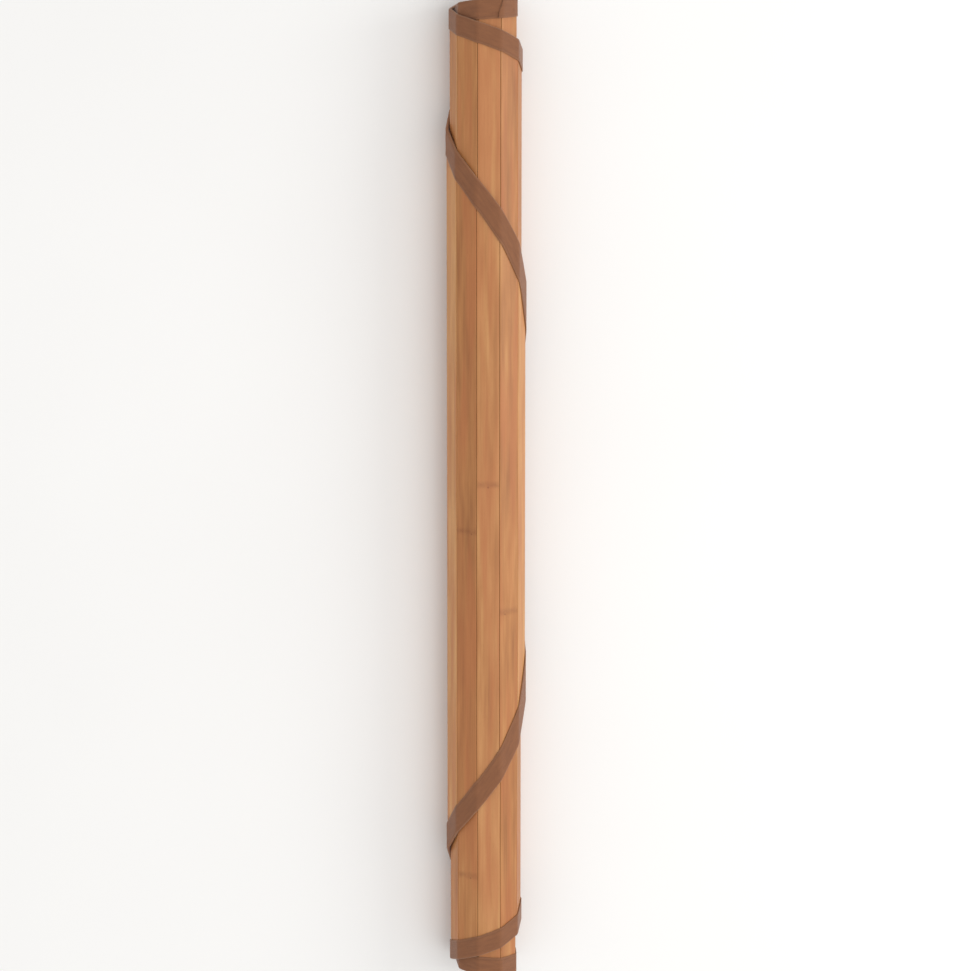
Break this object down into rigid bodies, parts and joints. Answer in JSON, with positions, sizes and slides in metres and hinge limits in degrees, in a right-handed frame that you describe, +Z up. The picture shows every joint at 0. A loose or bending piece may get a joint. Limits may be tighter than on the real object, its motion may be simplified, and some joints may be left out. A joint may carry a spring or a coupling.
{
  "type": "rolled bamboo mat",
  "caption": "Round mat of flat bamboo slats with a folded cloth binding, rolled up tight and lying on its side.",
  "frame": {"origin": "centre of the roll's box at floor level", "axes": "+Y along the roll's axis, +Z up; the loose end of the mat is low on the +X side"},
  "size_m": [0.0978, 1.2, 0.0933],
  "materials": {
    "bamboo": "satin lacquer",
    "backing": "matte felt",
    "binding": "matte woven tape"
  },
  "bodies": {
    "root": {"slat_01": "bamboo", "slat_02": "bamboo", "slat_03": "bamboo", "slat_04": "bamboo", "slat_05": "bamboo", "slat_06": "bamboo", "slat_07": "bamboo", "slat_08": "bamboo", "slat_09": "bamboo", "slat_10": "bamboo", "slat_11": "bamboo", "slat_12": "bamboo", "slat_13": "bamboo", "slat_14": "bamboo", "slat_15": "bamboo", "slat_16": "bamboo", "slat_17": "bamboo", "slat_18": "bamboo", "slat_19": "bamboo", "slat_20": "bamboo", "slat_21": "bamboo", "slat_22": "bamboo", "slat_23": "bamboo", "slat_24": "bamboo", "slat_25": "bamboo", "slat_26": "bamboo", "slat_27": "bamboo", "slat_28": "bamboo", "slat_29": "bamboo", "slat_30": "bamboo", "slat_31": "bamboo", "slat_32": "bamboo", "slat_33": "bamboo", "slat_34": "bamboo", "slat_35": "bamboo", "slat_36": "bamboo", "slat_37": "bamboo", "slat_38": "bamboo", "slat_39": "bamboo", "slat_40": "bamboo", "slat_41": "bamboo", "slat_42": "bamboo", "slat_43": "bamboo", "slat_44": "bamboo", "backing": "backing", "binding": "binding"}
  },
  "joints": []
}
